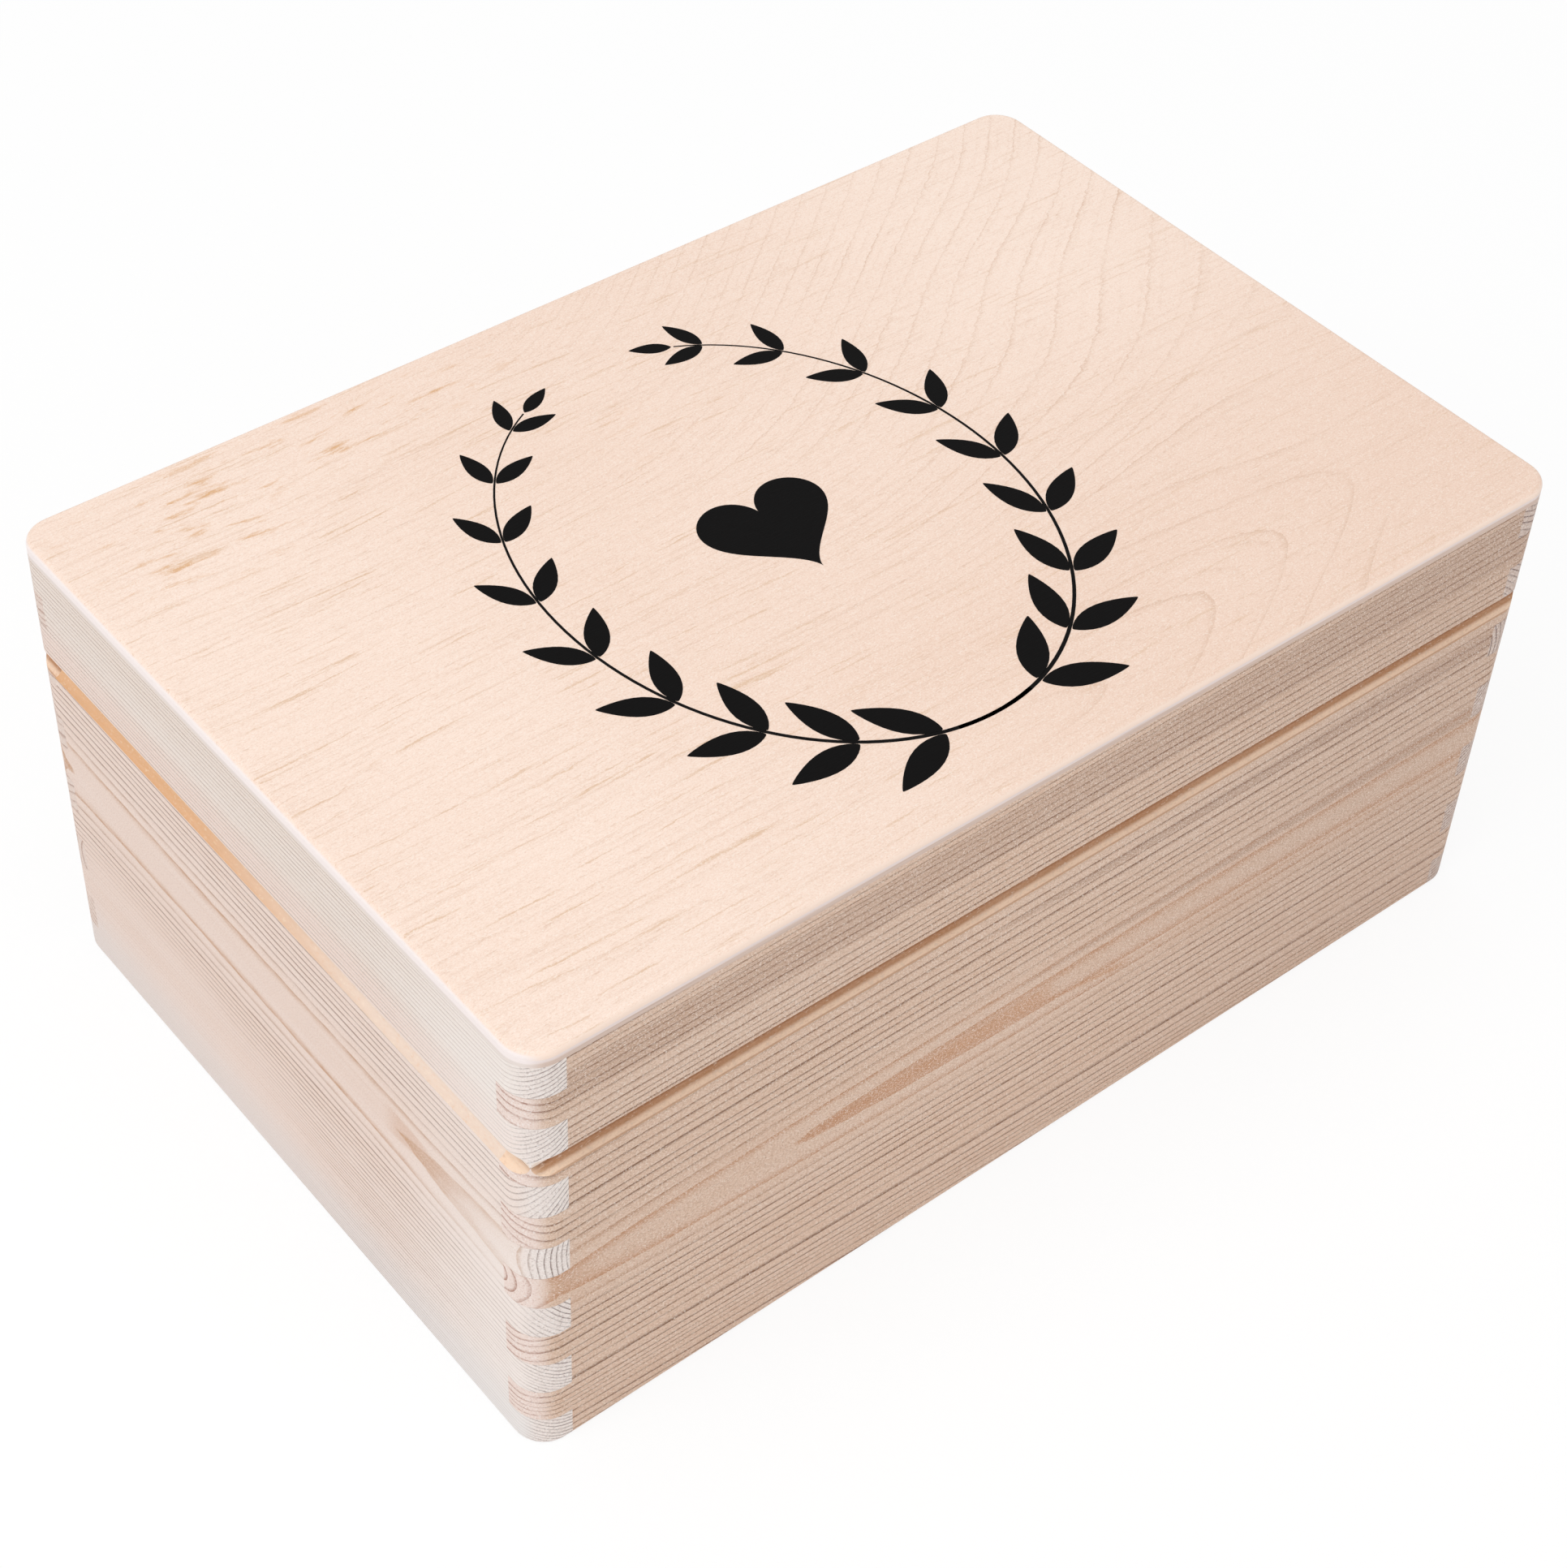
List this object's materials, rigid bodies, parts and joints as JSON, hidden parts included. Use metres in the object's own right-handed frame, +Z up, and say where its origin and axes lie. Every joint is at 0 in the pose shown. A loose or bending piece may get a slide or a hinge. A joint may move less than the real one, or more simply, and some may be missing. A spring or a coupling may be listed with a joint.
{
  "type": "keepsake box",
  "caption": "Hinged wooden keepsake box with finger-jointed pine boards, a flat plywood lid panel, a round grip groove along the parting line and butt hinges on the back.",
  "frame": {"origin": "middle of the box's underside, on the face that it rests on, without the hinges", "axes": "+X along the front to the right, +Y from the front to the hinged back, +Z up"},
  "size_m": [0.3, 0.2023, 0.1332],
  "materials": {
    "pine": "sanded bare wood",
    "plywood": "sanded bare veneer",
    "brass": "satin"
  },
  "bodies": {
    "box_body": {"body_front": "pine", "body_back": "pine", "body_left": "pine", "body_right": "pine", "base_panel": "plywood", "left_hinge_body_leaf": "brass", "right_hinge_body_leaf": "brass", "left_hinge_pin": "brass", "right_hinge_pin": "brass", "body_hinge_screws": "brass"},
    "lid": {"lid_front": "pine", "lid_back": "pine", "lid_left": "pine", "lid_right": "pine", "lid_panel": "plywood", "left_hinge_lid_leaf": "brass", "right_hinge_lid_leaf": "brass", "lid_hinge_screws": "brass"}
  },
  "joints": [
    {"name": "lid_hinge", "type": "hinge", "parent": "box_body", "child": "lid", "pos_m": [0, 0.10125, 0.0981], "axis": [-1, 0, 0], "range_deg": [0, 180]}
  ]
}
